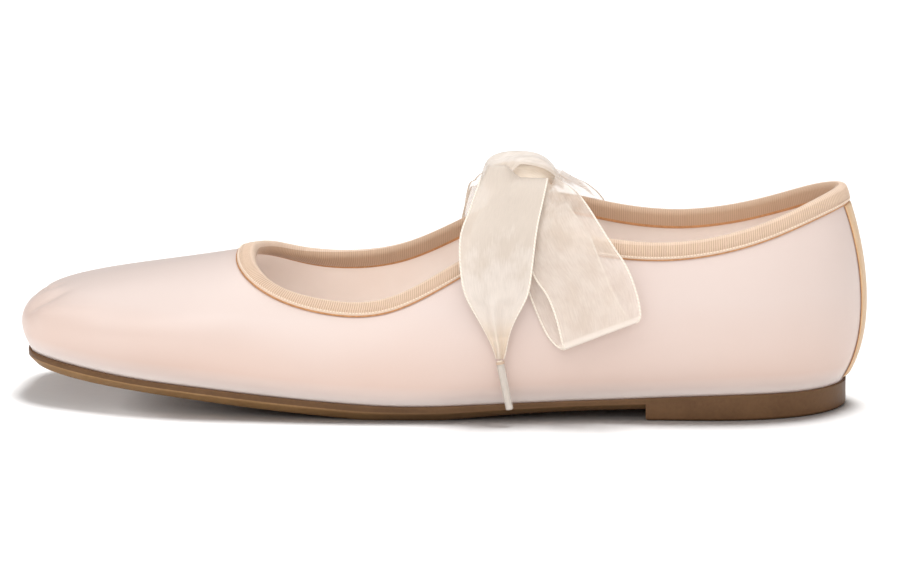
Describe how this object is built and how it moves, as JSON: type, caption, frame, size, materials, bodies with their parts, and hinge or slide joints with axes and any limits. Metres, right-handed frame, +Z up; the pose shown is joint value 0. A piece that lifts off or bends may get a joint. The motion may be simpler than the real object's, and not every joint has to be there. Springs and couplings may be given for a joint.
{
  "type": "mary jane shoe",
  "caption": "Low-heeled satin mary jane flat for a left foot, with a soft square toe, ribbed topline tape, moulded sole and a sheer ribbon bow tied over the instep",
  "frame": {"origin": "on the floor under the middle of the whole shoe, bow included", "axes": "+Z up, toe towards -X, heel towards +X, outer side of the left foot towards -Y"},
  "size_m": [0.2514, 0.0832, 0.0738],
  "materials": {
    "sole": "moulded brown rubber, satin sheen",
    "satin": "blush satin with a soft broad sheen",
    "insole": "matte pale lining leather",
    "tape": "ribbed tape, matte",
    "stay": "tan tape, matte",
    "ribbon": "sheer ivory ribbon with a bright woven edge",
    "aglet": "clear plastic tip"
  },
  "bodies": {
    "root": {"unit_sole": "sole", "upper": "satin", "insole": "insole", "topline_binding": "tape", "heel_stay": "stay", "ribbon_strap_lateral": "ribbon", "ribbon_strap_medial": "ribbon", "bow_knot": "ribbon", "bow_loop_lateral": "ribbon", "bow_loop_medial": "ribbon", "bow_tail_lateral": "ribbon", "bow_tail_medial": "ribbon", "aglet_lateral": "aglet", "aglet_medial": "aglet"}
  },
  "joints": []
}
